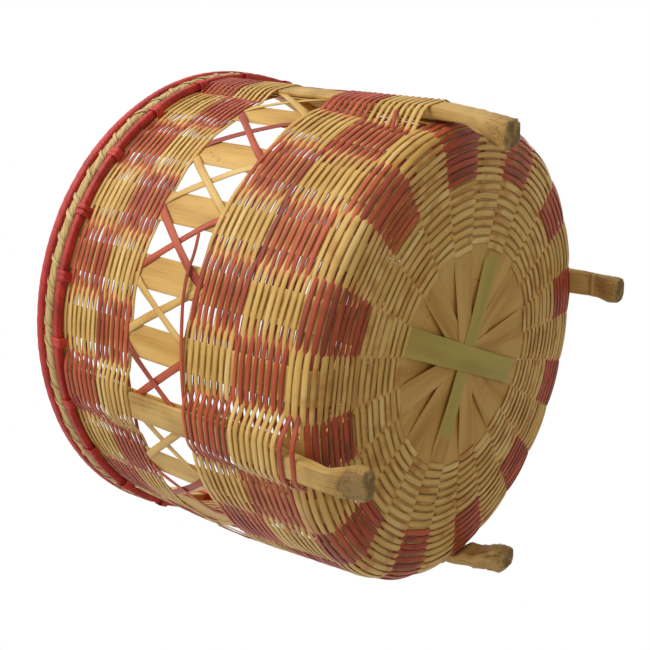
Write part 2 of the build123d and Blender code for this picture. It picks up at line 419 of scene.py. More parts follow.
class Bench:
    """A material or a world under work."""

    def __init__(self, owner: Material | bpy.types.World) -> None:
        """Starts with an empty tree.

        Args:
            owner: The material or the world.
        """
        self.owner = owner
        owner.use_nodes = True
        self.tree = owner.node_tree
        self.tree.nodes.clear()

    def node(self, kind: str, settings: dict | None = None, inputs: dict | None = None) -> Node:
        """Adds a node.

        Args:
            kind: The node's type.
            settings: Its own settings; "stops" is a colour ramp's places and colours.
            inputs: Values or links for its sockets, by name or number.

        Returns:
            The node.
        """
        new = self.tree.nodes.new(kind)
        for key, value in (settings or {}).items():
            if key == "stops":
                for element, (place, colour) in zip(new.color_ramp.elements, value):
                    element.position, element.color = place, colour
                for place, colour in value[2:]:
                    new.color_ramp.elements.new(place).color = colour
            else:
                setattr(new, key, value)
        for key, value in (inputs or {}).items():
            source = value.socket if isinstance(value, Value) else value
            if isinstance(source, Socket):
                self.tree.links.new(source, new.inputs[key])
            else:
                new.inputs[key].default_value = source
        return new

    def parts(self, vector: Socket) -> tuple[Value, ...]:
        """The three numbers of a vector."""
        parts = self.node("ShaderNodeSeparateXYZ", inputs={0: vector})
        return tuple(Value(self, output) for output in parts.outputs)

    @cached_property
    def strip(self) -> tuple[Value, Value]:
        """Distance along a strip in metres, and part of the way round it."""
        return self.parts(self.node("ShaderNodeUVMap", {"uv_map": "UVMap"}).outputs[0])[:2]

    @cached_property
    def place(self) -> tuple[Value, Value, Value]:
        """The point in the frame's axes, in metres."""
        return self.parts(self.node("ShaderNodeTexCoord").outputs["Object"])

    def noise(self, x: Value, y: Value | float, z: Value | float, detail: float = 2.0) -> Value:
        """Noise at a point.

        Args:
            x, y, z: The point, in features.
            detail: How many finer layers it has.

        Returns:
            The noise, from 0 to 1.
        """
        spot = self.node("ShaderNodeCombineXYZ", inputs={0: x, 1: y, 2: z})
        inputs = {"Vector": spot.outputs[0], "Scale": 1.0, "Detail": detail}
        return Value(self, self.node("ShaderNodeTexNoise", inputs=inputs).outputs[0])

    def cloud(self, scale: float, detail: float = 1.0) -> Value:
        """Noise from 0 to 1 through space, with scale features to the metre."""
        return self.noise(*(part * scale for part in self.place), detail=detail)

    def streaks(self, along: float, across: float, layer: float, detail: float = 2.0) -> Value:
        """Noise from 0 to 1 with along features to the metre, and across in a turn round it."""
        run, turn = self.strip
        return self.noise(run * along, turn * across, layer, detail)

    def dots(self, scale: float, reach: float) -> Value:
        """Round dots through space, 1 at their middles and 0 between them.

        Args:
            scale: Dots in a metre.
            reach: A dot's radius, as part of the distance between dots.

        Returns:
            How far the point is inside a dot.
        """
        spot = self.node("ShaderNodeCombineXYZ", inputs=dict(enumerate(self.place)))
        inputs = {"Vector": spot.outputs[0], "Scale": scale}
        cells = self.node("ShaderNodeTexVoronoi", inputs=inputs)
        return Value(self, cells.outputs["Distance"]).rise(reach, reach * 0.6)

    def mix(self, share: Value | float, first: object, second: object) -> Socket:
        """Mixes two colours."""
        settings = {"data_type": "RGBA", "clamp_factor": True}
        return self.node("ShaderNodeMix", settings, {0: share, 6: first, 7: second}).outputs[2]

    def blend(self, share: object, first: Node, second: Node) -> Node:
        """Mixes two shaders."""
        inputs = {0: share, 1: first.outputs[0], 2: second.outputs[0]}
        return self.node("ShaderNodeMixShader", inputs=inputs)

    def surface(
        self, colour: object, roughness: Value | float, height: Value, depth: float, gloss: float
    ) -> Material:
        """Ends the material in one shader.

        Args:
            colour: Base colour or its link.
            roughness: Roughness or its link.
            height: Relief from 0 to 1.
            depth: How deep the relief is, in metres.
            gloss: How strongly it reflects.

        Returns:
            The material.
        """
        relief = {"Strength": 0.7, "Distance": depth, "Height": height}
        bump = self.node("ShaderNodeBump", inputs=relief).outputs[0]
        inputs = {"Base Color": colour, "Roughness": roughness, "Normal": bump}
        inputs["Specular IOR Level"] = gloss
        shader = self.node("ShaderNodeBsdfPrincipled", inputs=inputs)
        self.node("ShaderNodeOutputMaterial", inputs={"Surface": shader.outputs[0]})
        return self.owner


# ---- finishes ----


@dataclass(frozen=True)
class Finish:
    """A material whose colour runs through a ramp.

    Attributes:
        name: The material's name.
        pale, middle, deep: Its colours, from the palest parts to the darkest.
    """

    name: str
    pale: Colour
    middle: Colour
    deep: Colour

    def bench(self) -> Bench:
        """Starts the material."""
        return Bench(bpy.data.materials.new(self.name))

    def ramp(self, tone: Value, low: float, high: float, middle: float = 0.5) -> Socket:
        """Colours a tone from deep at low to pale at high."""
        stops = [(low, self.deep), (high, self.pale), (middle, self.middle)]
        return tone.bench.node("ShaderNodeValToRGB", {"stops": stops}, {0: tone}).outputs[0]

    def skin(self, slot: str) -> Skin:
        """Makes the material for one of the record's slots."""
        return Skin(self.build(), slot)


@dataclass(frozen=True)
class CaneFinish(Finish):
    """Thin split cane, plain or dyed, with grain along it, blotches, and painted shade darkening
    its edges.

    Attributes:
        speck_and_edge_shade: Colour of the small marks on it, and of the painted shade along its
            edges.
        stain: Colour of the broad stains, most of them on the base.
    """

    speck_and_edge_shade: Colour
    stain: Colour

    def build(self) -> Material:
        """Makes the material.

        Returns:
            The material.
        """
        bench = self.bench()
        along, round_it = bench.strip
        x, y, z = bench.place
        stretch = bench.noise(along * 9, 3.0, 0.0, 1.0)
        patch = bench.cloud(26)
        grain = bench.streaks(55, 26, 1.7, 3.0)
        tone = stretch * 0.86 + patch * 0.25 + grain * 0.5 - 0.305
        fibres = bench.streaks(18, 60, 5.0).rise(0.52, 0.72)
        colour = bench.mix(fibres * 0.45, self.ramp(tone, 0.28, 0.72), self.deep)
        soiled = bench.noise(x * 60, y * 60, along * 14).rise(0.5, 0.68)
        colour = bench.mix(soiled * (0.18 + 0.5 * z.rise(*BASE_SOIL)), colour, self.stain)
        specks = bench.streaks(420, 9, 9.0).rise(0.7, 0.76)
        colour = bench.mix(specks * 0.55, colour, self.speck_and_edge_shade)
        # Painted shade: the colour darkens towards both edges of the strand's width, standing in
        # for the shade that falls between neighbouring strands.
        edge = (round_it * tau).cosine().size() ** 6.0
        colour = bench.mix(edge * 0.3, colour, self.speck_and_edge_shade)
        height = grain * 0.6 + fibres * -0.3 - edge * 0.4
        return bench.surface(colour, 0.46 + 0.16 * grain, height, 0.15 * MM, 0.4)


@dataclass(frozen=True)
class SplintFinish(Finish):
    """Split bamboo with long straight grain.

    Attributes:
        mark: Colour of the small dark marks that lie in patches on it.
        soil: Colour that the base has taken on.
        green, green_deep: Colours of fresh skin near the middle, or none.
        reach: How far from the axis the green skin goes on the two sides.
        azimuth: Direction of the splint in degrees, for the green skin.
    """

    mark: Colour
    soil: Colour
    green: Colour | None = None
    green_deep: Colour | None = None
    reach: Pair = (0.0, 0.0)
    azimuth: float = 0.0

    def build(self) -> Material:
        """Makes the material.

        Returns:
            The material.
        """
        bench = self.bench()
        x, y, z = bench.place
        soft = bench.streaks(12, 2.6, 2.0)
        patch = bench.cloud(14)
        grain = bench.streaks(30, 90, 4.0, 4.0)
        tone = soft * 0.95 + patch * 0.4 + grain * 0.5 - 0.425
        lines = bench.streaks(14, 120, 8.0).rise(0.56, 0.74)
        colour = bench.mix(lines * 0.45, self.ramp(tone, 0.24, 0.76), self.deep)
        spots = bench.cloud(230, 3.0).rise(0.6, 0.7) * bench.cloud(22).rise(0.54, 0.68)
        colour = bench.mix(spots * 0.35, colour, self.mark)
        colour = bench.mix(z.rise(*BASE_SOIL) * (0.1 + 0.3 * patch), colour, self.soil)
        if self.green:
            turn, fade = radians(self.azimuth), 6 * MM
            (far, near), ragged = self.reach, (soft - 0.5) * 0.02
            way = x * cos(turn) + y * sin(turn) + ragged
            fresh = way.rise(far + fade, far) * way.rise(near - fade, near)
            fresh = fresh * (0.45 + 0.4 * grain + 0.5 * patch)
            shade = lines * 0.35 + soft.rise(0.35, 0.7) * 0.45
            colour = bench.mix(fresh, colour, bench.mix(shade, self.green, self.green_deep))
        height = grain * 0.7 - lines * 0.5
        return bench.surface(colour, 0.5 + 0.18 * grain, height, 0.12 * MM, 0.35)


@dataclass(frozen=True)
class LegFinish(Finish):
    """A thick bamboo slat that turns into a pitted root at the foot.

    Attributes:
        root: Colour of the root.
        end_face, end_rim: Colours of the sawn end.
        pit: Colour of the pits.
        scar, scar_rim: Colours of the one cut face on a side.
        scar_place, scar_reach: Where that cut is, and its radius.
        root_height: Height below which the root's look sets in.
        node_height: Height of the bamboo node on the first leg.
    """

    root: Colour
    end_face: Colour
    end_rim: Colour
    pit: Colour
    scar: Colour
    scar_rim: Colour
    scar_place: Point = (-99.7 * MM, -93.2 * MM, 6.5 * MM)
    scar_reach: float = 8.0 * MM
    root_height: float = 26 * MM
    node_height: float = 20 * MM

    def build(self) -> Material:
        """Makes the material.

        Returns:
            The material.
        """
        bench = self.bench()
        x, y, z = bench.place
        grain = bench.streaks(22, 60, 4.0, 4.0)
        patch = bench.cloud(45, 3.0)
        tone = patch * 0.7 + grain * 0.5 - 0.1
        lines = bench.streaks(14, 120, 8.0, 1.0).rise(0.57, 0.7)
        colour = bench.mix(lines * 0.45, self.ramp(tone, 0.3, 0.75, 0.52), self.deep)
        near_foot = (z + (patch - 0.5) * 0.03).rise(self.root_height, 4 * MM)
        colour = bench.mix(near_foot * 0.6, colour, self.root)
        noded = x.rise(70 * MM, 80 * MM) * y.rise(70 * MM, 80 * MM)
        groove = (z - (self.node_height + 1.7 * MM)).size().rise(1.2 * MM, 0.3 * MM)
        crest = (z - self.node_height).size().rise(1.2 * MM, 0.4 * MM)
        colour = bench.mix(noded * groove * 0.6, colour, self.deep)
        colour = bench.mix(noded * crest * 0.75, colour, self.pale)
        colour = self.scarred(bench, colour)
        pits = bench.dots(850.0, 0.34) * bench.cloud(160).rise(0.42, 0.54)
        colour = bench.mix(pits * (near_foot * 0.85), colour, self.pit)
        cut = bench.noise(x * 150, y * 150, 3.0, 3.0)
        face = bench.mix(cut.rise(0.42, 0.66), self.end_face, self.end_rim)
        face = bench.mix(pits * 0.7, face, self.pit)
        colour = bench.mix(z.rise(1.9 * MM, 0.9 * MM), colour, face)
        height = grain * 0.6 - lines * 0.4 - pits * near_foot * 1.2 + patch * near_foot * 1.5
        return bench.surface(colour, 0.55 + 0.2 * grain, height, 0.5 * MM, 0.3)

    def scarred(self, bench: Bench, colour: Socket) -> Socket:
        """Adds the cut to the colour.

        Args:
            bench: The material under work.
            colour: Its colour so far.

        Returns:
            Its colour with the cut.
        """
        away = [value - place for value, place in zip(bench.place, self.scar_place)]
        distance = sum(part * part for part in away) ** 0.5
        distance = distance + (bench.cloud(220, 3.0) - 0.5) * 0.006
        share = distance.rise(self.scar_reach, self.scar_reach - 1.2 * MM) * 0.6
        rim = distance.rise(self.scar_reach - 3 * MM, self.scar_reach)
        return bench.mix(share, colour, bench.mix(rim, self.scar, self.scar_rim))


@dataclass(frozen=True)
class WrapFinish(Finish):
    """Dyed skin wound round a hoop: fine lines across it and darker seams.

    Attributes:
        pitch: Distance between seams.
        slant: Turns that a seam makes on its way round.
    """

    pitch: float
    slant: float

    def build(self) -> Material:
        """Makes the material.

        Returns:
            The material.
        """
        bench = self.bench()
        along, round_it = bench.strip
        grain = bench.streaks(900, 14, 4.0)
        tone = bench.cloud(60, 2.0) * 0.7 + grain * 0.5 - 0.1
        turn = (along * (1 / self.pitch) + round_it * self.slant) * tau
        seam = ((turn.cosine() + 1) * 0.5) ** 24.0
        colour = bench.mix(seam * 0.4, self.ramp(tone, 0.3, 0.78, 0.52), self.deep)
        return bench.surface(colour, 0.5 + 0.15 * grain, grain * 0.4 - seam, 0.3 * MM, 0.4)


@dataclass(frozen=True)
class FibreFinish(Finish):
    """A bundle of straw fibres that run along the rim."""

    def build(self) -> Material:
        """Makes the material.

        Returns:
            The material.
        """
        bench = self.bench()
        strands, fine = bench.streaks(34, 5, 2.0), bench.streaks(60, 26, 6.0)
        colour = self.ramp(strands * 0.8 + fine * 0.5 - 0.12, 0.32, 0.72)
        return bench.surface(colour, 0.6, strands * 0.5 + fine * 0.5, 0.3 * MM, 0.3)


class Dye(Enum):
    """The two colours of weaving cane."""

    NATURAL = "natural"
    RED = "red"


class Finishes:
    """Every material of the basket, made once."""

    def __init__(self) -> None:
        """Makes the materials."""
        plain = tints(
            (243, 208, 134), (223, 179, 94), (186, 135, 60), (112, 74, 32), (184, 116, 46)
        )
        dyed = tints((215, 106, 60), (180, 72, 40), (130, 46, 28), (84, 30, 19), (118, 54, 29))
        wraps = tints(
            (232, 208, 152), (212, 182, 120), (178, 144, 86), (116, 86, 46), (182, 142, 80)
        )
        straw = tints(
            (232, 192, 114), (214, 167, 88), (174, 124, 54), (112, 70, 34), (168, 120, 48)
        )
        green = tints((190, 172, 84), (146, 120, 53))
        crimson = tints((212, 72, 58), (190, 52, 42), (140, 32, 28))
        bamboo = tints(
            *((228, 192, 122), (208, 167, 95), (160, 116, 58), (173, 134, 76), (140, 112, 66)),
            *((186, 152, 92), (84, 62, 42), (142, 114, 74), (122, 86, 52)),
        )
        fibre = tints((234, 209, 150), (208, 176, 113), (144, 108, 58))
        self.cane = {
            Dye.NATURAL: CaneFinish("natural_cane", *plain).skin("natural_weaver"),
            Dye.RED: CaneFinish("red_cane", *dyed).skin("red_weaver"),
        }
        self.split_bamboo = SplintFinish("split_bamboo", *straw).skin("split_bamboo")
        self.green_splints = {
            azimuth: SplintFinish(name, *straw, *green, reach, azimuth).skin("green_bamboo")
            for azimuth, name, reach in (
                (75, "green_bamboo", (56 * MM, -67 * MM)),
                (165, "green_bamboo_half", (44 * MM, -60 * MM)),
            )
        }
        self.leg = LegFinish("leg_bamboo", *bamboo).skin("bamboo_root")
        self.wrap = WrapFinish("red_wrap", *crimson, 8.3 * MM, 1.0).skin("red_wrapping")
        self.lashing = WrapFinish("red_lashing", *crimson, 60 * MM, 0.0).skin("red_wrapping")
        self.fibre = FibreFinish("rim_fibre", *fibre).skin("rim_fibre")
        self.pale_wrap = CaneFinish("pale_wrap", *wraps).skin("rim_fibre")


# ---- the frame's lines ----


@dataclass
class StakeLine:
    """The middle line of a stake in the plane through the axis, base first, then up the wall."""

    base_height: float
    rim_top: float
    base_radius: float = 135.6 * MM
    knee_radius: float = 144.9 * MM
    knee_height: float = 120.0 * MM
    top_radius: float = 148.4 * MM
    corner_radius: float = 12.0 * MM
    start_radius: float = 50.0 * MM
    spoke_places: tuple[float, ...] = (20 * MM, 34 * MM, 54 * MM, 122 * MM)
    spoke_widths: tuple[float, ...] = (13.4 * MM, 14.6 * MM, 17.2 * MM, 18.6 * MM)

    def __post_init__(self) -> None:
        """Works out the line."""
        corners = [(self.start_radius, self.base_height)] + self.wall_corners()
        line = rounded_line(corners, [self.corner_radius, 4 * self.corner_radius], MM)
        self.radius, self.height = line.T
        self.run = run_length(line)
        self.slope = unit(np.gradient(line, self.run, axis=0))

    def wall_corners(self) -> list[Pair]:
        """Corners of the line from the foot of the wall up, as radius and height."""
        foot = (self.base_radius, self.base_height)
        return [foot, (self.knee_radius, self.knee_height), (self.top_radius, self.rim_top)]

    def at_height(self, height: float) -> float:
        """Distance along the line to a height on the wall."""
        wall = self.radius > self.base_radius
        return float(np.interp(height, self.height[wall], self.run[wall]))

    def at_radius(self, radius: float) -> float:
        """Distance along the line to a radius on the flat base."""
        return radius - self.start_radius

    def wall_radius(self, height: Array | float) -> Array:
        """Radius of the line at heights on the wall."""
        corners = np.array(self.wall_corners())
        return np.interp(height, corners[:, 1], corners[:, 0])

    def frame_at(self, place: Array) -> tuple[Array, Array, Array]:
        """Follows the line.

        Args:
            place: Distances along it.

        Returns:
            Its radius, height and slope there.
        """
        columns = (self.radius, self.height, *self.slope.T)
        radius, height, *slope = (np.interp(place, self.run, column) for column in columns)
        return radius, height, unit(np.stack(slope, axis=1))

    def width_at(self, radius: Array) -> Array:
        """Width of a splint at a distance from the axis."""
        return np.interp(radius, self.spoke_places, self.spoke_widths)


@dataclass
class Part:
    """A part of the basket that follows the line of its stakes."""

    line: StakeLine
    finishes: Finishes


# ---- legs ----


LEG_SIDES = 40
# Heights of a root's last stations in millimetres, and how its section closes there.
ROOT_END = np.array([0.7, 0.35, 0.3, 0.3, 0.35, 0.4, 0.45])
CLOSING = [0.99, 0.97, 0.94, 0.9, 0.8, 0.66, 0.48, 0.3, 0.14, 0.03]


@dataclass(frozen=True)
class Foot:
    """How one leg's root end looks.

    Attributes:
        emerges: Height at which the slat comes out from under the weave.
        slat: Width of the slat where it comes out.
        depth: Radial size of the root at the floor.
        width: Its size along the wall.
        flare: Height at which it starts to swell.
        knobs: How uneven it is.
        lean: How far it leans outwards at the floor.
        sideways: How far the root leans along the wall.
        ridge: Height of a bamboo node across the slat, or 0.
        spur: How far a root spur stands out, as part of its half size.
        spur_place: Where the spur is: part of the way round, and height.
        spur_size: How long the spur is down the leg.
        dome: Height below which the end is rounded off, or 0.
        shave: How much is cut off the outer face at the floor.
        heel: How much thicker the leg is on its inner side below the basket.
    """

    emerges: float
    slat: float
    depth: float
    width: float
    flare: float
    knobs: float
    lean: float = 0.0
    sideways: float = 0.0
    ridge: float = 0.0
    spur: float = 0.0
    spur_place: Pair = (0.75, 5 * MM)
    spur_size: float = 4.0 * MM
    dome: float = 0.0
    shave: float = 0.0
    heel: float = 0.0


@dataclass
class Legs(Part):
    """The four slats on the outside of stakes, which run down past the base as legs."""

    top: float = field(default_factory=lambda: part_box("leg_045")[1][2])
    width: float = 16.5 * MM
    band_thickness: float = 3.0 * MM
    emerging_thickness: float = 7.6 * MM
    leaves_wall: float = 60.0 * MM
    thickest: float = 42.0 * MM
    stations: int = 130
    last_station: float = 1.4 * MM
    free_heights: Pair = (40 * MM, 15 * MM)
    heel_heights: Pair = (38 * MM, 30 * MM)
    swollen_at: float = 5 * MM
    shaved_at: float = 2 * MM
    narrows_from: float = 70 * MM
    node_size: float = 1.1 * MM
    node_reach: Pair = (0.6 * MM, 1.3 * MM)
    feet: dict[int, Foot] = field(
        default_factory=lambda: {
            45: Foot(
                *(45.6 * MM, 16.5 * MM, 12.6 * MM, 17.4 * MM, 20 * MM, 0.4, 4 * MM),
                ridge=20 * MM,
            ),
            135: Foot(
                *(43.0 * MM, 16.0 * MM, 17.5 * MM, 19.0 * MM, 27 * MM, 1.6, -6 * MM, 1 * MM),
                *(0.0, 0.55, (0.77, 9.5 * MM), 2.8 * MM),
                dome=6 * MM,
                heel=5 * MM,
            ),
            225: Foot(
                *(38.0 * MM, 13.2 * MM, 15.2 * MM, 18.6 * MM, 19 * MM, 0.8, -4 * MM, -6 * MM),
                shave=4.5 * MM,
            ),
            315: Foot(
                *(46.0 * MM, 16.0 * MM, 16.0 * MM, 17.6 * MM, 28 * MM, 1.0, -2.5 * MM),
                spur=0.36,
                spur_place=(0.625, 1.0 * MM),
            ),
        }
    )

    def outer_radius(self, height: Array) -> Array:
        """Outer face of an upright leg.

        Args:
            height: Some heights.

        Returns:
            Its radius there.
        """
        heights = [0.0, self.thickest, self.line.knee_height, self.top]
        emerging = self.line.wall_radius(self.leaves_wall) + WALL_GAP + self.emerging_thickness
        walls = self.line.wall_radius(np.array(heights[2:])) + WALL_GAP + self.band_thickness
        return np.interp(height, heights, [emerging - 2 * MM, emerging, *walls])

    def inner_radius(self, height: Array) -> Array:
        """Radius of a leg's inner face at some heights, without the root's swelling."""
        return self.line.wall_radius(np.maximum(height, self.leaves_wall)) + WALL_GAP

    def build(self) -> None:
        """Makes the four legs, each from its top under the weave to a closed root end."""
        for seed, (azimuth, foot) in enumerate(self.feet.items()):
            slat = np.linspace(self.top, self.last_station, self.stations)
            height = np.concatenate([slat, ROOT_END * MM])
            free = eased(height, *self.free_heights)
            swell = eased(height, foot.flare, self.swollen_at)
            track = self.track(azimuth, foot, height, (free, swell), Wander(900 + seed))
            bumps = self.bumps(foot, height, free, Wander(950 + seed))
            sweeper = Sweeper(f"leg_slat_{azimuth:03d}", LEG_SIDES, 5.0)
            sweeper.lay(track, bumps)
            sweeper.finish(self.finishes.leg, f"leg_{azimuth:03d}")

    def track(
        self, azimuth: int, foot: Foot, height: Array, shares: tuple[Array, Array], wander: Wander
    ) -> Track:
        """The stations of one leg.

        Args:
            azimuth: Its direction in degrees.
            foot: Its root end.
            height: Height of each station.
            shares: How free of the basket and how swollen it is at each station.
            wander: Its unevenness.

        Returns:
            The stations.
        """
        free, swell = shares
        run = np.linspace(0, 1, len(height))
        lean = foot.lean * (1 - np.minimum(height / self.thickest, 1))
        outer, inner = self.outer_radius(height) + lean, self.inner_radius(height) + lean
        inner = inner - foot.heel * eased(height, *self.heel_heights)
        inner = inner + swell * (outer - foot.depth - inner)
        outer = outer - foot.shave * eased(height, foot.flare, self.shaved_at)
        rough = foot.knobs * MM

        def uneven(spacing: float, amount: float, bias: float) -> Array:
            """Unevenness that is only there where the leg is free."""
            return free * (wander.along(run, spacing, amount * foot.knobs) * MM + bias * rough)

        outer = outer + uneven(0.025, 0.35, -0.35)
        inner = inner + uneven(0.022, 0.7, 0.5)
        if foot.ridge:
            ridge = np.exp(-(((height - foot.ridge) / self.node_size) ** 2))
            outer = outer + self.node_reach[0] * ridge
            inner = inner - self.node_reach[1] * ridge
        narrowing = eased(height, self.narrows_from, foot.emerges)
        slat = self.width + narrowing * (foot.slat - self.width)
        slat = slat + np.clip(1 - height / foot.emerges, 0, 1) * (foot.width - foot.slat) * 0.35
        half_width = (slat + swell * (foot.width - slat)) / 2 + uneven(0.03, 0.6, -0.4)
        sideways = foot.sideways * (1 - np.minimum(height / self.leaves_wall, 1))
        sideways = sideways + uneven(0.06, 0.4, 0.0)
        turn = np.full(len(height), radians(azimuth))
        outward = outwards(turn)
        across = np.cross(UP, outward)
        centre = spun(turn, (outer + inner) / 2, height) + across * sideways[:, None]
        closing = np.concatenate([np.ones(len(height) - len(CLOSING)), CLOSING])
        return Track(centre, across, outward, half_width * closing, (outer - inner) / 2 * closing)

    def bumps(self, foot: Foot, height: Array, free: Array, rough: Wander) -> Array:
        """Bumps, spur and rounded corners of a leg, as a factor on its section.

        Args:
            foot: Its root end.
            height: Height of each station.
            free: How free of the basket it is at each station.
            rough: Its unevenness.

        Returns:
            The factor for each point round it and each station.
        """
        run, count = np.linspace(0, 1, len(height)), LEG_SIDES // 2
        knots = [rough.along(run, 0.016, 0.07 * foot.knobs) for _ in range(count)]
        relief = np.array([*knots, *knots[:2]])
        low = np.arange(LEG_SIDES + 1) // 2
        blend = (np.arange(LEG_SIDES + 1) % 2 / 2)[:, None]
        bumps = relief[low] * (1 - blend) + relief[low + 1] * blend
        bumps = 1 + free * bumps - 0.03 * foot.knobs * free
        around = np.linspace(0, tau, LEG_SIDES + 1)[:, None]
        spur_turn, spur_height = foot.spur_place
        off_turn, off_height = around - spur_turn * tau, height - spur_height
        spur = np.exp(-((off_turn / 0.3) ** 2 + (off_height / foot.spur_size) ** 2))
        bumps = bumps + foot.spur * spur
        if foot.dome:
            bumps = bumps * (1 - 0.3 * np.clip(1 - height / foot.dome, 0, 1) ** 2)
        edges = np.abs(np.sin(around * 2)) ** 3
        return bumps * (1 - 0.13 * edges * eased(height, foot.flare, 0.0))


# ---- splints ----


@dataclass
class Splints(Part):
    """Twelve splints, each a stake, a spoke across the base, and the stake opposite."""

    order: tuple[int, ...] = (75, 165, 135, 105, 45, 15, 0, 150, 120, 90, 30, 60)
    broad_width: float = 16.2 * MM
    thickness: float = 0.5 * MM
    layer: float = 0.51 * MM
    lowest_drop: float = 1.5 * MM
    pile_radius: float = 30.0 * MM
    ramp_radius: float = 57.0 * MM
    flat_radius: float = 65.0 * MM
    ramp_share: float = 0.25
    top_gap: float = 1.5 * MM
    station_step: float = 2.2 * MM
    narrower: float = 0.3 * MM
    width_change: Pair = (60 * MM, 0.5 * MM)  # spacing and size of its wander in width
    sway: Pair = (90 * MM, 0.5 * MM)  # and sideways

    def build(self) -> None:
        """Makes the twelve splints."""
        for level, azimuth in enumerate(self.order):
            self.splint(azimuth, level)

    def splint(self, azimuth: int, level: int) -> None:
        """Makes one splint.

        Args:
            azimuth: Its direction in degrees.
            level: Its place in the pile where the splints cross, 0 at the underside.
        """
        line = self.line
        above = level * self.layer - self.lowest_drop
        top = line.rim_top - self.top_gap
        half = [
            (self.pile_radius, line.base_height + above),
            (self.ramp_radius, line.base_height + self.ramp_share * above),
            (self.flat_radius, line.base_height),
            *line.wall_corners()[:2],
            (float(line.wall_radius(top)), top),
        ]
        corners = [(-x, z) for x, z in half[::-1]] + half
        bends = [line.corner_radius] * 4 + [4 * line.corner_radius]
        points = rounded_line(corners, bends[::-1] + bends, self.station_step)
        slope = unit(np.gradient(points, axis=0))
        run = run_length(points)
        wander = Wander(300 + azimuth)
        turn = np.full(len(points), radians(azimuth))
        across = np.cross(UP, outwards(turn))
        outward = spun(turn, slope[:, 1], -slope[:, 0])
        width = line.width_at(np.abs(points[:, 0]))
        if azimuth == self.order[0]:
            width = np.maximum(width, self.broad_width)
        width = width + wander.along(run, *self.width_change) - self.narrower
        sideways = wander.along(run, *self.sway)
        centre = spun(turn, points[:, 0], points[:, 1]) + across * sideways[:, None]
        sweeper = Sweeper(f"splint_strip_{azimuth:03d}", 12, 7.0)
        track = Track(centre, across, outward, width / 2, self.thickness / 2)
        sweeper.lay(track, start=azimuth * 0.037)
        skin = self.finishes.green_splints.get(azimuth, self.finishes.split_bamboo)
        sweeper.finish(skin, f"splint_{azimuth:03d}")


# ---- weave ----


CANE = (8, 2.6)  # points round the section of a cane strand, and its squareness
STRIP = (8, 5.0)  # the same of a flat strip


class Front(Enum):
    """Which stakes a strand passes in front of."""

    EVEN = 0
    ODD = 1


@dataclass(frozen=True)
class Block:
    """Rows of weave between two places on the stake line, one dye for each strand.

    Attributes:
        node: The CAD node that it stands for.
        start, end: Where it starts and ends on the line.
        pairs: Pairs of rows.
        dyes: The dye of the strand in front of the odd and of the even stakes.
        stations: Stations of a strand to a stake.
        half_width, half_thickness: Half a strand's size.
        pinch: How much narrower a strand is between stakes.
        tight: How much wider it is low on the wall.
    """

    node: str
    start: float
    end: float
    pairs: int
    dyes: dict[Front, Dye]
    stations: int = 9
    half_width: float = 1.53 * MM
    half_thickness: float = 0.42 * MM
    pinch: float = 0.14
    tight: float = 0.0


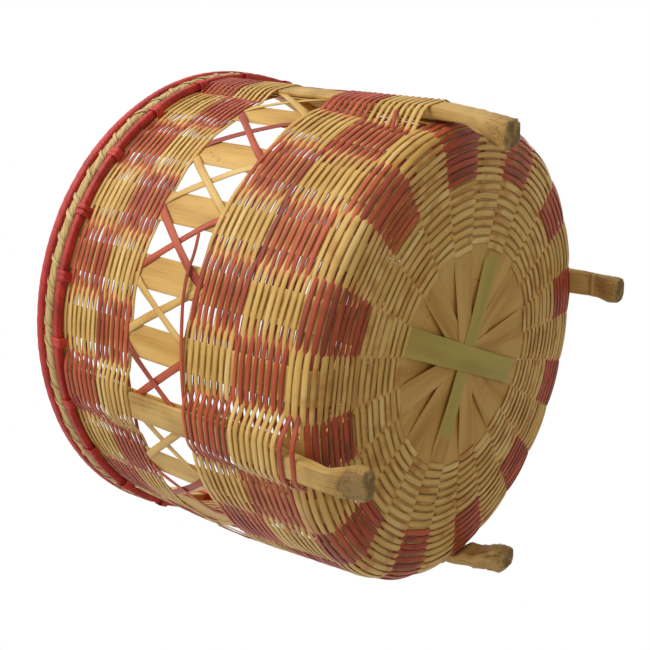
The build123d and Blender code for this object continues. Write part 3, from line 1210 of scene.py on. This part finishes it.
@dataclass
class Weave(Part):
    """Every woven strand, block by block.

    Attributes:
        legs: The legs that it passes over.
        swing: How far a strand stands off the line of the stakes at a stake.
        first_stake: Where the blocks start, counted in stakes.
        inner_edge: Radius at which the rows on the base start.
        lift_start: Distance from a leg's middle at which a strand starts to climb over it.
        under_hoop: How far the last row goes up behind the lower hoop.
        run_scale: Metres of wandering to a radian round the basket.
        drift, waver: Spacing and size of the slow and the quick wander across the rows.
        swell, width_change, twist: The same of its swing, width and roll.
        tight_heights: Heights between which the round corner's rows widen.
    """

    legs: Legs
    swing: float = 0.88 * MM
    first_stake: float = 5.5
    inner_edge: float = 65.0 * MM
    lift_start: float = 23.0 * MM
    under_hoop: float = 1.6 * MM
    run_scale: float = 0.14
    drift: Pair = (34 * MM, 0.3 * MM)
    waver: Pair = (9 * MM, 0.13 * MM)
    swell: Pair = (40 * MM, 0.14 * MM)
    width_change: Pair = (70 * MM, 0.19)
    twist: Pair = (28 * MM, radians(11))
    tight_heights: Pair = (64 * MM, 48 * MM)

    def blocks(self) -> list[Block]:
        """Works out the blocks of weave.

        Returns:
            The blocks, from the middle of the base to the rim.
        """
        line = self.line
        odd_red = {Front.ODD: Dye.RED, Front.EVEN: Dye.NATURAL}
        even_red = {Front.ODD: Dye.NATURAL, Front.EVEN: Dye.RED}
        plain = {Front.ODD: Dye.NATURAL, Front.EVEN: Dye.NATURAL}

        def heights(node: str) -> Pair:
            """Where a block on the wall starts and ends on the line."""
            low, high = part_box(node)
            return line.at_height(low[2]), line.at_height(high[2])

        base_edge = line.at_radius(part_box("base_weave")[1][0])
        corner_top = line.at_height(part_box("corner_weave")[1][2])
        hoop_foot = line.at_height(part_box("rim_lower_hoop")[0][2] + self.under_hoop)
        middle = line.at_radius(self.inner_edge)
        return [
            Block("base_weave", middle, base_edge, 8, plain, 16, 2.12 * MM, 0.34 * MM),
            Block("corner_weave", base_edge, corner_top, 10, odd_red, tight=0.17),
            Block("middle_weave", *heights("middle_weave"), 8, even_red),
            Block("lower_band_weave", *heights("lower_band_weave"), 8, odd_red),
            Block("upper_band_weave", *heights("upper_band_weave"), 7, even_red),
            Block("rim_side_weave", heights("rim_side_weave")[0], hoop_foot, 7, odd_red),
        ]

    def build(self) -> None:
        """Makes both strands of every block."""
        for number, block in enumerate(self.blocks()):
            for front, dye in block.dyes.items():
                sweeper = Sweeper(f"{block.node}_{front.name.lower()}_strand", *CANE)
                seed = 100 + 10 * number + front.value
                sweeper.lay(self.strand(block, front, seed), start=seed * 1.7)
                sweeper.finish(self.finishes.cane[dye], block.node)

    def strand(self, block: Block, front: Front, seed: int) -> Track:
        """The track of one strand of a block.

        Args:
            block: The block of rows.
            front: The stakes that it passes in front of.
            seed: Seed for its unevenness.

        Returns:
            The strand's stations.
        """
        wander = Wander(seed)
        first = 6 if front is Front.ODD else 5
        stake = first + np.arange(block.pairs * STAKES * block.stations + 1) / block.stations
        azimuth = stake * PITCH
        rows = (block.end - block.start) / block.pairs
        shift = -0.25 if front is Front.ODD else 0.25
        place = block.start + rows * (shift + (stake - self.first_stake) / STAKES)
        travel = azimuth * self.run_scale
        place = place + wander.along(travel, *self.drift) + wander.along(travel, *self.waver)
        radius, height, slope = self.line.frame_at(place)
        wave = np.cos(pi * stake) * (1 if front is Front.EVEN else -1)
        covered = np.clip(self.line.width_at(radius) / (radius * PITCH), 0.3, 0.86)
        steep = log(0.8) / np.log(np.cos(pi / 2 * covered))
        offset = self.swing * np.sign(wave) * np.abs(wave) ** steep
        offset = offset + np.abs(wave) * wander.along(travel, *self.swell)
        if front is Front.ODD:
            offset = self.over_legs(azimuth, (radius, height), offset, block.half_thickness)
        outward = spun(azimuth, slope[:, 1], -slope[:, 0])
        across = spun(azimuth, slope[:, 0], slope[:, 1])
        centre = spun(azimuth, radius, height) + outward * offset[:, None]
        pinch = 1 - block.pinch * (1 - np.abs(wave) ** np.minimum(steep, 0.6))
        width = block.half_width * pinch * (0.98 + wander.along(travel, *self.width_change))
        width = width * (1 + block.tight * eased(height, *self.tight_heights))
        track = Track(centre, across, outward, width, block.half_thickness)
        return track.rolled(wander.along(travel, *self.twist))

    def over_legs(
        self, azimuth: Array, place: tuple[Array, Array], offset: Array, half_thickness: float
    ) -> Array:
        """Lifts a strand over the legs, above the height at which they come out of the weave.

        Args:
            azimuth: Its direction from the axis at each station.
            place: Its radius and height.
            offset: How far it swings out of the wall's line.
            half_thickness: Half its thickness.

        Returns:
            The new offset.
        """
        radius, height = place
        face = self.legs.outer_radius(height) - self.line.wall_radius(height)
        lifted = face + 0.1 * MM + half_thickness
        for leg, foot in self.legs.feet.items():
            turn = (azimuth - radians(leg) + pi) % tau - pi
            over = eased(np.abs(turn) * radius, self.lift_start, self.legs.width / 2 - 0.6 * MM)
            at_leg = np.interp(azimuth - turn, azimuth, height)
            over = over * (at_leg > foot.emerges)
            offset = offset + over * (lifted - offset)
        return offset


# ---- crossed strips ----


@dataclass
class Lattice(Part):
    """Two crossed strips in each gap of the open band, natural and red in turn."""

    width: float = 4.6 * MM
    thickness: float = 0.6 * MM
    lean: float = 15.0 * MM
    tuck: float = 5.0 * MM
    rest: float = 0.85 * MM
    layer_step: float = 0.75 * MM
    tucked_in: float = 0.5 * MM
    stations: int = 28
    tuck_shares: Pair = (0.86, 1.06)
    leans: Pair = (-2.2 * MM, 1.6 * MM)  # least and most, drawn for each strip
    shifts: Pair = (-1.2 * MM, 1.2 * MM)
    bows: Pair = (-0.2 * MM, 0.6 * MM)
    widths: Pair = (0.86, 1.06)
    sway: Pair = (0.9, 0.35 * MM)  # spacing and size of a strip's wander sideways
    width_change: Pair = (0.5, 0.08)  # and in width

    def build(self) -> None:
        """Makes the natural strips and the red ones."""
        low, high = (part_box("lattice_natural_strips")[end][2] for end in range(2))
        for first, dye in enumerate((Dye.NATURAL, Dye.RED)):
            node = f"lattice_{dye.value}_strips"
            sweeper = Sweeper(f"crossed_{dye.value}_strips", *STRIP)
            for gap in range(first, STAKES, 2):
                outer_side = -1 if gap % 7 == 0 else 1
                for layer, side in enumerate((-outer_side, outer_side)):
                    track = self.strip(gap, layer, side, low, high)
                    sweeper.lay(track, start=gap * 1.3 + layer * 0.6)
            sweeper.finish(self.finishes.cane[dye], node)

    def strip(self, gap: int, layer: int, side: int, low: float, high: float) -> Track:
        """The track of one strip.

        Args:
            gap: The gap that it crosses, counted round from azimuth 0.
            layer: 0 for the inner strip, 1 for the outer.
            side: Which way it leans.
            low: Bottom of the open band.
            high: Top of the open band.

        Returns:
            The strip's stations.
        """
        wander = Wander(600 + gap * 2 + layer)
        end = 1 + self.tuck / (high - low) * 2
        share = np.linspace(-end, end, self.stations)
        height = (low + high) / 2 + share * (high - low) / 2
        lean = (self.lean + wander.draw.uniform(*self.leans)) * side
        shift = wander.draw.uniform(*self.shifts)
        tucked = eased(np.abs(share), *self.tuck_shares)
        bow = np.cos(share * pi / 2).clip(0) * wander.draw.uniform(*self.bows)
        radius = self.line.wall_radius(height) + self.rest + self.layer_step * layer + bow
        radius = radius - tucked * (self.tucked_in + self.layer_step * layer)
        level = lean * share + shift + wander.along(share, *self.sway)
        turn = (gap + 0.5) * PITCH + level / radius
        centre, outward = spun(turn, radius, height), outwards(turn)
        across = unit(np.cross(outward, unit(np.gradient(centre, axis=0))))
        width = self.width / 2 * (1 + wander.along(share, *self.width_change))
        width = width * wander.draw.uniform(*self.widths)
        return Track(centre, across, outward, width, self.thickness / 2)


# ---- loose ends ----


@dataclass
class LooseEnds(Part):
    """The strand ends that the weaver left loose, and the first rows inside the base.

    Attributes:
        half_width, half_thickness: Half a strand's size.
        bow, curl: Places of the two loose ends: degrees round, height and how proud, in mm.
        starts: Each first row's dye, radius and the degrees that it goes from and to.
    """

    half_width: float = 1.2 * MM
    half_thickness: float = 0.4 * MM
    bow: tuple[Point, ...] = (
        *((222, 111.5, 1.6), (230, 112.0, 2.4), (238, 112.6, 2.8), (246, 114.6, 3.2)),
        *((252, 117.6, 3.0), (257, 118.6, 3.4), (261, 117.2, 4.2), (265, 118.2, 5.4)),
    )
    curl: tuple[Point, ...] = (
        *((303, 56, 1.8), (307, 60, 6.0), (311, 66, 6.4), (316, 62, 6.2), (321, 58, 1.6)),
    )
    starts: tuple[tuple[Dye, float, int, int], ...] = (
        (Dye.NATURAL, 50 * MM, 150, 318),
        (Dye.RED, 47 * MM, 318, 372),
        (Dye.NATURAL, 56 * MM, 10, 352),
    )

    def build(self) -> None:
        """Makes the loose strands and the first rows."""
        loose = Sweeper("loose_red_ends", *CANE)
        for seed, places in enumerate((self.bow, self.curl)):
            azimuth, height, proud = (np.array(places) * [1, MM, MM]).T
            radius = self.line.wall_radius(height) + proud
            loose.lay(self.strand(azimuth, radius, height, seed), start=seed * 2.3)
        loose.finish(self.finishes.cane[Dye.RED])
        inner = {dye: Sweeper(f"first_{dye.value}_rows", *CANE) for dye in Dye}
        for seed, (dye, radius, first, last) in enumerate(self.starts):
            azimuth = np.arange(first, last + 1, 5.0)
            wander = Wander(720 + seed)
            height = self.line.base_height + (2.2 + wander.along(azimuth, 20, 0.6)) * MM
            reach = radius + wander.along(azimuth, 30, 2 * MM)
            inner[dye].lay(self.strand(azimuth, reach, height, seed), start=seed)
        for dye, sweeper in inner.items():
            sweeper.finish(self.finishes.cane[dye])

    def strand(self, azimuth: Array, radius: Array, height: Array, seed: int) -> Track:
        """The track of a strand through a few places, smoothed between them.

        Args:
            azimuth: Directions of the places in degrees.
            radius: Their distances from the axis.
            height: Their heights.
            seed: Seed for its unevenness.

        Returns:
            The strand's stations.
        """
        knots = spun(np.radians(azimuth), radius, height)
        for _ in range(3):
            first, last = knots[:-1], knots[1:]
            cuts = np.stack([0.75 * first + 0.25 * last, 0.25 * first + 0.75 * last], axis=1)
            knots = np.concatenate([knots[:1], cuts.reshape(-1, 3), knots[-1:]])
        uneven = Wander(740 + seed).along(run_length(knots), 12 * MM, 0.12)
        width = self.half_width * (1 + uneven)
        return Track.facing(knots, unit(knots * [1.0, 1.0, 0.0]), (width, self.half_thickness))


# ---- rim ----


@dataclass
class Rim(Part):
    """Wrapped hoops, a fibre band between them, and the lashings that tie them on."""

    upper_depth: float = 5.7 * MM
    lower_depth: float = 4.6 * MM
    lower_shrink: float = 1.6 * MM
    core_depth: float = 5.0 * MM
    inner_depth: float = 4.6 * MM
    wraps: int = 115
    strands: int = 9
    lay_turns: int = 20
    lashing_shift: float = 0.39
    lashing_width: float = 5.6 * MM
    binding_per_gap: int = 3
    sway: Pair = (0.3, 0.12 * MM)  # spacing and size of a hoop's wander outwards
    wave: Pair = (0.35, 0.18 * MM)  # and upwards
    hoop_ease: float = 0.15 * MM
    slack: float = 0.35 * MM
    lashing_drop: float = 0.7 * MM
    lashing_bend: float = 0.9 * MM
    lashing_halves: Pair = (1.6 * MM, 0.26 * MM)
    slants: Pair = (30, 46)
    crossed_share: float = 0.15
    binding_half_widths: Pair = (1.1 * MM, 1.5 * MM)
    binding_half_thickness: float = 0.16 * MM
    fibre_half_thickness: float = 0.65 * MM

    def build(self) -> None:
        """Makes every piece of the rim."""
        self.wrapped_hoop("rim_upper_hoop", self.upper_depth, 0.05, 41)
        self.wrapped_hoop("rim_lower_hoop", self.lower_depth, 0.03, 42, self.lower_shrink)
        self.fibre_band()
        self.binding()
        self.inner("rim_inner_band", 43)
        self.inner("rim_inner_hoop", 44)
        self.lashings()

    def ring(
        self, node: str, depth: float, seed: int, stations: int, inside: bool = False
    ) -> tuple[Track, Array]:
        """A closed track round the rim that fills a CAD hoop's place.

        Args:
            node: The CAD hoop.
            depth: Its size outwards.
            seed: Seed for its unevenness.
            stations: How many steps it takes round the rim.
            inside: Whether it lies inside the wall.

        Returns:
            The track, and the azimuth of each station.
        """
        low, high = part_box(node)
        azimuth = np.linspace(0, tau, stations + 1)
        wander = Wander(seed)
        outer = self.line.wall_radius(high[2]) - WALL_GAP if inside else high[0]
        radius = outer - depth / 2 + wander.along(azimuth, *self.sway, closed=True)
        middle = (low[2] + high[2]) / 2
        height = middle + wander.along(azimuth, *self.wave, closed=True)
        half = (high[2] - low[2]) / 2 - self.hoop_ease
        up = np.tile(UP, (len(azimuth), 1))
        centre = spun(azimuth, radius, height)
        return Track(centre, up, outwards(azimuth), half, depth / 2), azimuth

    def wrapped_hoop(
        self, node: str, depth: float, step: float, seed: int, shrink: float = 0.0
    ) -> None:
        """Makes a hoop wound with a flat red strip, each turn lapping the last one.

        Args:
            node: The CAD hoop.
            depth: Its size outwards.
            step: How far each turn stands over the next, as part of the hoop's half size.
            seed: Seed for its unevenness.
            shrink: How far its underside is above the CAD hoop's.
        """
        track, azimuth = self.ring(node, depth, seed, 920)
        track.half_width -= shrink / 2
        track.centre[:, 2] += shrink / 2
        sweeper = Sweeper(f"{node}_wrapped", 16, 4.4)
        round_it = np.linspace(0, 1, 17)[:, None]
        turn = (azimuth / tau * self.wraps + round_it) % 1.0
        crumple = Wander(seed + 5).along(azimuth, 0.05, 0.02, closed=True)
        sweeper.lay(track, 1 - step * turn + crumple)
        sweeper.finish(self.finishes.wrap, node)

    def fibre_band(self) -> None:
        """Makes the band of straw fibres between the hoops, flat strands laid up like a rope."""
        track, azimuth = self.ring("rim_core_band", self.core_depth, 45, 760)
        depth, tall = track.half_thickness, track.half_width
        sweeper = Sweeper("rim_fibre_band", 6, 2.6)
        radius = np.hypot(track.centre[:, 0], track.centre[:, 1])
        for strand in range(self.strands):
            wander = Wander(460 + strand)
            turn = azimuth * self.lay_turns + tau * strand / self.strands
            turn = turn + wander.along(azimuth, 0.12, 0.22, closed=True)
            up, out = np.sin(turn), np.cos(turn)
            reach = 0.66 / (np.abs(up) ** 3 + np.abs(out) ** 3) ** (1 / 3)
            reach = reach * (1 + wander.along(azimuth, 0.06, 0.07, closed=True))
            height = track.centre[:, 2] + up * reach * tall
            centre = spun(azimuth, radius + out * reach * depth, height)
            face = unit(spun(azimuth, out / depth, up / tall))
            width = (1.25 + wander.along(azimuth, 0.08, 0.25, closed=True)) * MM
            strip = Track.facing(centre, face, (width, self.fibre_half_thickness), closed=True)
            sweeper.lay(strip, start=strand * 1.9)
        sweeper.finish(self.finishes.fibre, "rim_core_band")

    def binding(self) -> None:
        """Makes the pale slanting wraps, flat ribbons that hug the outside of the fibre band."""
        low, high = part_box("rim_core_band")
        middle, half_height = (low[2] + high[2]) / 2, (high[2] - low[2]) / 2 + 0.1 * MM
        half_depth = self.core_depth / 2 + 0.25 * MM
        spine = high[0] - self.core_depth / 2
        sweeper = Sweeper("rim_core_wraps", 8, 4.0)
        count = STAKES * self.binding_per_gap
        draw = np.random.default_rng(77)
        bend = np.linspace(-1.75, 1.75, 19)
        out, up = np.cos(bend), np.sin(bend)
        for index in range(count):
            slant = radians(draw.uniform(*self.slants))
            slant = -slant if draw.uniform() < self.crossed_share else slant
            turn = (index + 0.5 + draw.uniform(-0.2, 0.2)) * tau / count
            rise = np.sign(up) * np.abs(up) ** 0.7
            height = middle + half_height * rise
            radius = spine + half_depth * np.sign(out) * np.abs(out) ** 0.7
            azimuth = turn + np.tan(slant) * half_height * rise / spine
            centre = spun(azimuth, radius, height)
            outness = np.sign(out) * np.abs(out) ** 1.3 / half_depth
            face = unit(spun(azimuth, outness, up / half_height))
            halves = (draw.uniform(*self.binding_half_widths), self.binding_half_thickness)
            sweeper.lay(Track.facing(centre, face, halves), start=index * 0.7)
        sweeper.finish(self.finishes.pale_wrap, "rim_core_binding")

    def inner(self, node: str, seed: int) -> None:
        """Makes a hoop inside the mouth, of plain split bamboo.

        Args:
            node: The CAD hoop.
            seed: Seed for its unevenness.
        """
        sweeper = Sweeper(f"{node}_bamboo", 16, 5.0)
        sweeper.lay(self.ring(node, self.inner_depth, seed, 360, inside=True)[0])
        sweeper.finish(self.finishes.split_bamboo, node)

    def lashings(self) -> None:
        """Makes the red lashings, each of two turns of strip side by side."""
        hoop_low, hoop_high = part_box("rim_lower_hoop")
        inner_radius = self.line.wall_radius(hoop_low[2]) - WALL_GAP - self.inner_depth
        outer, inner = hoop_high[0] + self.slack, inner_radius - self.slack
        low, high = hoop_low[2] - self.lashing_drop, hoop_high[2]
        start = ((inner + outer) / 2, high)
        corners = [start, (outer, high), (outer, low), (inner, low), (inner, high), start]
        loop = rounded_line(corners, [self.lashing_bend] * 4, 0.8 * MM)
        slope = unit(np.gradient(loop, axis=0))
        slope[0] = slope[-1] = unit(slope[0] + slope[-1])
        sweeper = Sweeper("rim_red_lashings", *STRIP)
        draw = np.random.default_rng(81)
        for index in range(STAKES):
            azimuth = np.full(len(loop), (index - self.lashing_shift) * PITCH)
            outward = spun(azimuth, -slope[:, 1], slope[:, 0])
            across = np.cross(UP, outwards(azimuth))
            for turn in (-0.5, 0.5):
                shift = turn * self.lashing_width / 2 + draw.uniform(-0.3, 0.3) * MM
                lean = draw.uniform(-0.5, 0.5) * MM + 0.7 * MM
                offset = shift + lean * np.sin(np.linspace(0, tau, len(loop)))
                proud = (0.16 * turn + draw.uniform(0, 0.16)) * MM
                centre = spun(azimuth, *loop.T) + across * offset[:, None] + outward * proud
                track = Track(centre, across, outward, *self.lashing_halves)
                sweeper.lay(track, start=index * 0.9 + turn)
        sweeper.finish(self.finishes.lashing, "rim_lashings")


# ---- studio ----


def towards(place: Point, aim: Point) -> Quaternion:
    """The turn that faces a lamp or a camera from its place to a point."""
    return (Vector(aim) - Vector(place)).to_track_quat("-Z", "Y")


@dataclass(frozen=True)
class Lamp:
    """A soft square lamp that faces the basket."""

    name: str
    place: Point
    size: float
    power: float

    def build(self, aim: Point) -> None:
        """Makes the lamp.

        Args:
            aim: The point that it faces.
        """
        data = bpy.data.lights.new(self.name, "AREA")
        data.size = self.size
        data.energy = self.power
        lamp = placed(self.name, data)
        lamp.location = self.place
        lamp.rotation_euler = towards(self.place, aim).to_euler()


@dataclass
class Studio:
    """Floor, lamps, world and camera."""

    aim: Point = (-0.00505, -0.0079, 0.13136)
    camera_place: Point = (-0.12617, -0.46368, -0.23959)
    camera_roll: float = -74.66
    lens: float = 51.63
    floor_size: float = 6.0
    floor_drop: float = 0.4 * MM
    floor_fade: Pair = (0.35, 0.95)
    ambient: float = 0.345
    lamps: tuple[Lamp, ...] = (
        Lamp("key_lamp", (0.4, -1.55, 0.75), 0.9, 19.8),
        Lamp("top_lamp", (0.3, 0.1, 1.9), 1.4, 17.0),
        Lamp("back_lamp", (0.9, 1.4, 0.8), 1.2, 18.0),
        Lamp("side_lamp", (-1.5, 0.3, 0.6), 1.2, 4.6),
        Lamp("under_lamp", (-0.35, -0.95, -1.25), 1.0, 3.5),
    )

    def build(self) -> None:
        """Makes the studio."""
        self.floor()
        self.world()
        for lamp in self.lamps:
            lamp.build(self.aim)
        self.camera()
        bpy.context.scene.view_settings.view_transform = "Standard"

    def floor(self) -> None:
        """Makes a pale floor that shows only from above and fades to white far from the basket."""
        work = bmesh.new()
        bmesh.ops.create_grid(work, x_segments=1, y_segments=1, size=self.floor_size / 2)
        bmesh.ops.translate(work, verts=work.verts, vec=(0, 0, -self.floor_drop))
        floor = meshed("floor", work)
        bench = Bench(bpy.data.materials.new("floor_paper"))
        x, y, _ = bench.place
        seen = bench.node("ShaderNodeLightPath").outputs["Is Camera Ray"]
        far = ((x * x + y * y) ** 0.5).rise(*self.floor_fade) * Value(bench, seen)
        plain = bench.node("ShaderNodeBsdfDiffuse", inputs={"Color": (0.86, 0.86, 0.86, 1.0)})
        white = bench.node("ShaderNodeEmission", inputs={"Strength": 1.0})
        under = bench.node("ShaderNodeNewGeometry").outputs["Backfacing"]
        clear = bench.node("ShaderNodeBsdfTransparent")
        both = bench.blend(under, bench.blend(far, plain, white), clear)
        bench.node("ShaderNodeOutputMaterial", inputs={"Surface": both.outputs[0]})
        floor.data.materials.append(bench.owner)
        floor.visible_shadow = floor.visible_diffuse = False

    def world(self) -> None:
        """Makes a world that is white to look at and lights the basket softly."""
        world = bpy.context.scene.world = bpy.data.worlds.new("studio")
        bench = Bench(world)
        path = bench.node("ShaderNodeLightPath").outputs
        seen = Value(bench, path["Is Camera Ray"])
        for ray in ("Is Glossy Ray", "Is Transmission Ray"):
            seen = seen.most(Value(bench, path[ray]))
        dim, bright = (
            bench.node("ShaderNodeBackground", inputs={"Color": WHITE, "Strength": strength})
            for strength in (self.ambient, 1.0)
        )
        both = bench.blend(seen, dim, bright)
        bench.node("ShaderNodeOutputWorld", inputs={"Surface": both.outputs[0]})

    def camera(self) -> None:
        """Makes the camera, below the floor and turned on its side."""
        data = bpy.data.cameras.new("camera")
        data.lens = self.lens
        data.sensor_width = 36.0
        camera = placed("camera", data)
        camera.location = self.camera_place
        camera.rotation_mode = "QUATERNION"
        roll = Quaternion(UP, radians(self.camera_roll))
        camera.rotation_quaternion = towards(self.camera_place, self.aim) @ roll
        bpy.context.scene.camera = camera


def main() -> None:
    """Builds the studio and the basket."""
    Studio().build()
    finishes = Finishes()
    line = StakeLine(
        base_height=(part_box("base_weave")[0][2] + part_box("base_weave")[1][2]) / 2,
        rim_top=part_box("rim_upper_hoop")[1][2],
    )
    legs = Legs(line, finishes)
    legs.build()
    Splints(line, finishes).build()
    Weave(line, finishes, legs).build()
    Lattice(line, finishes).build()
    LooseEnds(line, finishes).build()
    Rim(line, finishes).build()


if __name__ == "__main__":
    main()
